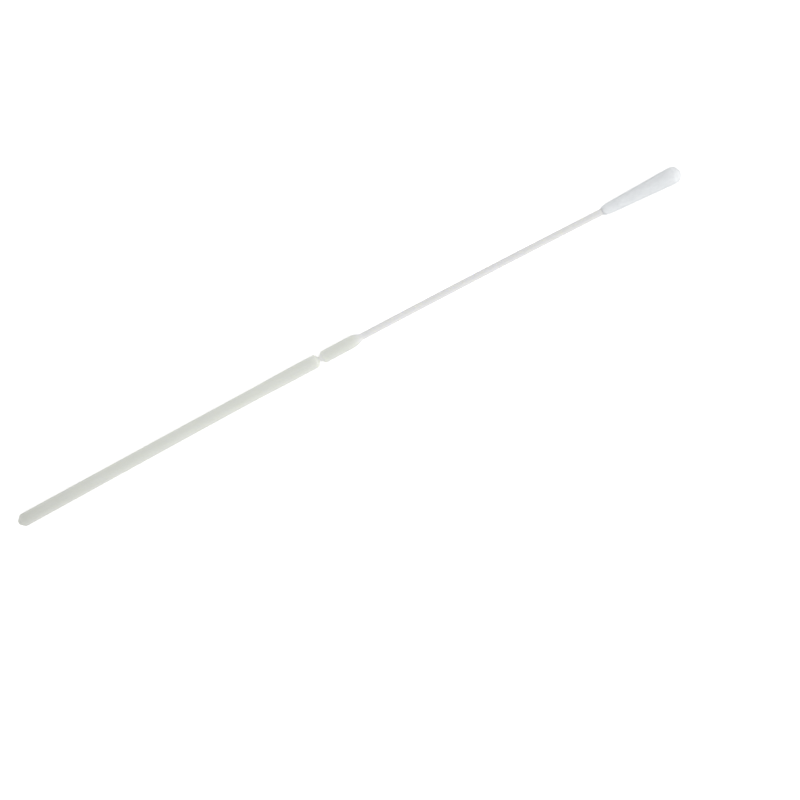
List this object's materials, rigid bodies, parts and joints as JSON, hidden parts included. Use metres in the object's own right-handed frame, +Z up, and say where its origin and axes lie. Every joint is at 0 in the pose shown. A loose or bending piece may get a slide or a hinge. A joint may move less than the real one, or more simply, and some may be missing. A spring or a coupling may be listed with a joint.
{
  "type": "flocked specimen swab",
  "caption": "Slim moulded plastic swab stick with a thicker handle, a snap-off break groove and a soft flocked fibre tip that collects a specimen.",
  "frame": {"origin": "bottom centre of the bounding box, on the table that the swab lies on", "axes": "+X along the swab from the butt of the handle to the flocked nose, +Y to the outer side of its shallow bow, +Z up"},
  "size_m": [0.1508, 0.0038, 0.0035],
  "materials": {
    "stick_plastic": "satin",
    "nylon_flock": "matte"
  },
  "bodies": {
    "root": {"stick": "stick_plastic", "flocked_tip": "nylon_flock"}
  },
  "joints": []
}
